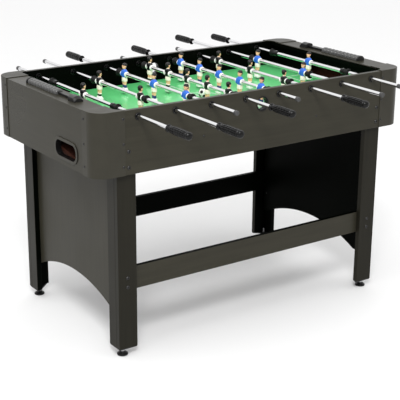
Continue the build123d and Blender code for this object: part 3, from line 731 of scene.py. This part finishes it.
def make_fasteners():
    """Socket-head bolts in the legs and cross-head screws elsewhere, each where the frame has one."""
    bolts, screws = Maker(), Maker()

    def cross(s, r, angle):
        """Sinks four slots into the middle of a screw head."""
        slot = abs(math.sin(2 * angle)) < 0.42
        return (s - 0.9, r) if slot and 0.2 < r < 2.3 and s > 0.5 else (s, r)

    for points in solids("fasteners"):
        low, high = box_of(points)
        size, middle = high - low, (low + high) / 2
        k = max(range(3), key=lambda i: size[i])
        others = [i for i in range(3) if i != k]
        reach = [max(abs(p[i] - middle[i]) for i in others) for p in points]
        head = max(reach)
        big = head > BOLT_LEAST
        side = sum(p[k] - middle[k] for p, r in zip(points, reach) if r > head * 0.9)
        sign = 1 if side > 0 else -1
        axis = Vector([sign if i == k else 0 for i in range(3)])
        tall = 3.0 if big else 1.6
        seat = middle + axis * (size[k] / 2 - tall * MM)
        width, length = head / MM, size[k] / MM - tall
        if big:
            outline = [(-length, 0.01), (-length, 2.9), (0, 2.9), (0, width), (0.7, width)]
            outline += [(1.9, width * 0.86), (2.7, width * 0.6), (2.95, 2.6), (2.95, 2.4), (1.2, 2.3)]
            outline += [(1.2, 0.01)]
            turned(bolts, seat, axis, outline, 36, warp=hexagon)
        else:
            outline = [(-length, 0.01), (-length, 1.6), (0, 1.6), (0, width), (0.35, width)]
            outline += [(0.95, width * 0.82), (1.35, width * 0.58), (1.4, 2.2), (1.4, 1.4), (1.4, 0.7)]
            outline += [(1.4, 0.01)]
            turned(screws, seat, axis, outline, 40, warp=cross)
    bolts.piece("leg_bolts", "root", "fastener", [BLUED], ["fasteners"], 30)
    screws.piece("cabinet_screws", "root", "fastener", [BLUED], crease=30)


def make_foot(node):
    """Levelling foot: moulded pad, hexagon nut and a threaded stud."""
    low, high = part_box(node)
    origin = Vector(((low.x + high.x) / 2, (low.y + high.y) / 2, low.z))
    height, pitch = (high.z - low.z) / MM, 1.25
    pad = Maker()
    outline = [(0, 0.01), (0, 16.2), (1.2, 17.4), (4.6, 17.4), (6.4, 15.4), (8, 11.6), (12, 9.2)]
    outline += [(12, 0.01)]
    turned(pad, origin, (0, 0, 1), soften(outline, 0.9), 56)
    pad.piece(f"{node}_pad", node, "foot_plastic", [BLACK], [node])

    def six(s, r, angle):
        return s, min(r, 6.5 / math.cos((angle % (TAU / 6)) - TAU / 12))

    def thread(s, r, angle):
        phase = (s / pitch - angle / TAU) % 1
        return s, r - (0.62 * abs(2 * phase - 1) if 20.5 < s < height - 1 and r > 2 else 0)

    stud = Maker()
    outline = [(12.1, 0.01), (12.1, 6.4), (12.8, 7.4), (19.2, 7.4), (20, 6.4), (20, 0.01)]
    turned(stud, origin, (0, 0, 1), outline, 36, warp=six)
    turns = [20.2 + (height - 20.6) * k / 92 for k in range(93)]
    outline = [(20.1, 0.01)] + [(s, 3.95) for s in turns] + [(height, 3.2), (height, 0.01)]
    turned(stud, origin, (0, 0, 1), outline, 20, warp=thread)
    stud.piece(f"{node}_stud", node, "steel", [ZINC], crease=30)


# ---------------------------------------------------------------- score counters and ball
def bead_ring(x, y, base, width, height, crown, shrink):
    """Cross-section of a bead: upright sides, arched top, and the T-shaped channel under it."""
    half, ring = width / 2 - shrink, []
    for k in range(13):
        angle = math.pi * k / 12
        rise = height - crown + (crown - shrink) * math.sin(angle)
        ring.append((half * math.cos(angle), rise))
    outline = [(5.2, 0.35), (half, 0.35)] + ring + [(-half, 0.35), (-5.2, 0.35)]
    outline += [(-2.6, 0.35), (-2.6, 3.9), (-5.1, 3.9), (-5.1, 8.1)]
    outline += [(5.1, 8.1), (5.1, 3.9), (2.6, 3.9), (2.6, 0.35)]
    return [Vector((x + u * MM, y, base + v * MM)) for u, v in outline]


def make_beads(node, name, body, count):
    """Row of score beads with eased ends, so that each one reads as its own ridge."""
    low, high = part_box(node)
    groups = {}
    for points in solids(node):
        start, end = box_of(points)
        groups[round((start.x + end.x) / 2, 3), round(start.y, 4)] = (start, end)
    maker = Maker()
    for start, end in groups.values():
        middle = (start.x + end.x) / 2
        base = start.z - 0.3 * MM
        width, height = (end.x - start.x) / MM, (end.z - start.z) / MM + 0.3
        length = end.y - start.y
        stations = ((0.0, 4.2), (1.4, 2.6), (2.9, 1.1), (4.6, 0.3), (6.6, 0.0))
        rows = [(start.y + s * MM, shrink) for s, shrink in stations]
        rows += [(start.y + length / 2, 0.0)]
        rows += [(end.y - s * MM, shrink) for s, shrink in reversed(stations)]
        rings = [bead_ring(middle, y, base, width, height, 10, shrink) for y, shrink in rows]
        maker.skin(rings)
    assert len(groups) == count, f"{node} has {len(groups)} beads"
    maker.piece(name, body, "bead", [BEAD], [node], 30)


def make_ball():
    """Small ball with the usual dark five-sided patches."""
    low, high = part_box("ball")
    middle, radius = (low + high) / 2, (high.z - low.z) / 2
    mesh = bmesh.new()
    bmesh.ops.create_icosphere(mesh, subdivisions=1, radius=1)
    patches = [v.co.normalized() for v in mesh.verts]
    mesh.free()
    maker = Maker()
    bmesh.ops.create_icosphere(maker.mesh, subdivisions=6, radius=radius)
    for face in maker.mesh.faces:
        way = face.calc_center_median().normalized()
        face.material_index = int(max(way.dot(p) for p in patches) > math.cos(BALL_PATCH))
    for vert in maker.mesh.verts:
        vert.co += middle
    maker.piece("match_ball", "ball", "ball", [WHITE, JET], ["ball"])


# ---------------------------------------------------------------- stage, light, camera
def make_floor():
    mesh = bmesh.new()
    bmesh.ops.create_grid(mesh, x_segments=1, y_segments=1, size=60)
    data = bpy.data.meshes.new("floor")
    mesh.to_mesh(data)
    mesh.free()
    made = bpy.data.objects.new("floor", data)
    bpy.context.scene.collection.objects.link(made)
    data.materials.append(Shader("floor_paint", (0.74, 0.74, 0.74), 0.7).material)


def make_light(name, place, target, size, power):
    data = bpy.data.lights.new(name, "AREA")
    data.shape, data.size, data.energy = "DISK", size, power
    made = bpy.data.objects.new(name, data)
    bpy.context.scene.collection.objects.link(made)
    made.location = place
    made.rotation_euler = (Vector(target) - Vector(place)).to_track_quat("-Z", "Y").to_euler()


def make_stage():
    """Pale floor, a sky that is dim near the horizon and even above it, and two soft lamps."""
    make_floor()
    world = bpy.data.worlds.new("studio")
    world.use_nodes = True
    nodes, links = world.node_tree.nodes, world.node_tree.links
    backdrop = nodes["Background"]
    backdrop.inputs["Color"].default_value = (1, 1, 1, 1)
    way, height = nodes.new("ShaderNodeTexCoord"), nodes.new("ShaderNodeSeparateXYZ")
    sky = nodes.new("ShaderNodeFloatCurve")
    levels = sky.mapping.curves[0].points
    levels[0].location, levels[-1].location = (0.0, 0.15), (1.0, 0.9)
    levels.new(0.32, 0.85)
    sky.mapping.update()
    lift = nodes.new("ShaderNodeMath")
    lift.operation = "MULTIPLY"
    lift.inputs[1].default_value = SKY_POWER
    links.new(way.outputs["Generated"], height.inputs[0])
    links.new(height.outputs["Z"], sky.inputs["Value"])
    links.new(sky.outputs[0], lift.inputs[0])
    links.new(lift.outputs[0], backdrop.inputs["Strength"])
    bpy.context.scene.world = world
    bpy.context.scene.view_settings.view_transform = "Standard"
    middle = (CAD_BOX[0] + CAD_BOX[1]) / 2
    make_light("overhead", (-1.2, -0.2, 3.4), middle, 1.0, 12)
    make_light("front_left", (-2.4, -3.4, 4.2), middle, 1.6, 190)


def make_camera():
    """Stands in front of the left end, a little above the table."""
    place = Vector((-2.100, -3.006, 1.579))
    yaw, pitch, roll = math.radians(34.81), math.radians(-18.75), math.radians(0.46)
    forward = Vector((math.sin(yaw) * math.cos(pitch), math.cos(yaw) * math.cos(pitch), math.sin(pitch)))
    data = bpy.data.cameras.new("camera")
    data.sensor_width = 36
    data.lens = FOCAL * data.sensor_width
    made = bpy.data.objects.new("camera", data)
    bpy.context.scene.collection.objects.link(made)
    made.location = place
    turn = forward.to_track_quat("-Z", "Y").to_matrix()
    tilt = turn.copy()
    tilt.col[0] = turn.col[0] * math.cos(roll) + turn.col[1] * math.sin(roll)
    tilt.col[1] = turn.col[1] * math.cos(roll) - turn.col[0] * math.sin(roll)
    made.rotation_euler = tilt.to_euler()
    bpy.context.scene.camera = made


make_stage()
make_camera()
dress_cabinet()
dress_stand()
for rod in range(1, ROD_COUNT + 1):
    make_shaft(rod)
    make_handle(rod)
    make_bumpers(rod)
    make_men(rod)
make_bearings()
make_entry_cups()
make_fasteners()
for foot in [name for name in NODES if name.startswith("foot_") and name != "foot_plates"]:
    make_foot(foot)
dress("score_racks", RACK)
make_beads("score_bead_stacks", "stacked_beads", "root", 18)
make_beads("left_score_bead", "left_bead_counter", "left_bead", 1)
make_beads("right_score_bead", "right_bead_counter", "right_bead", 1)
make_ball()
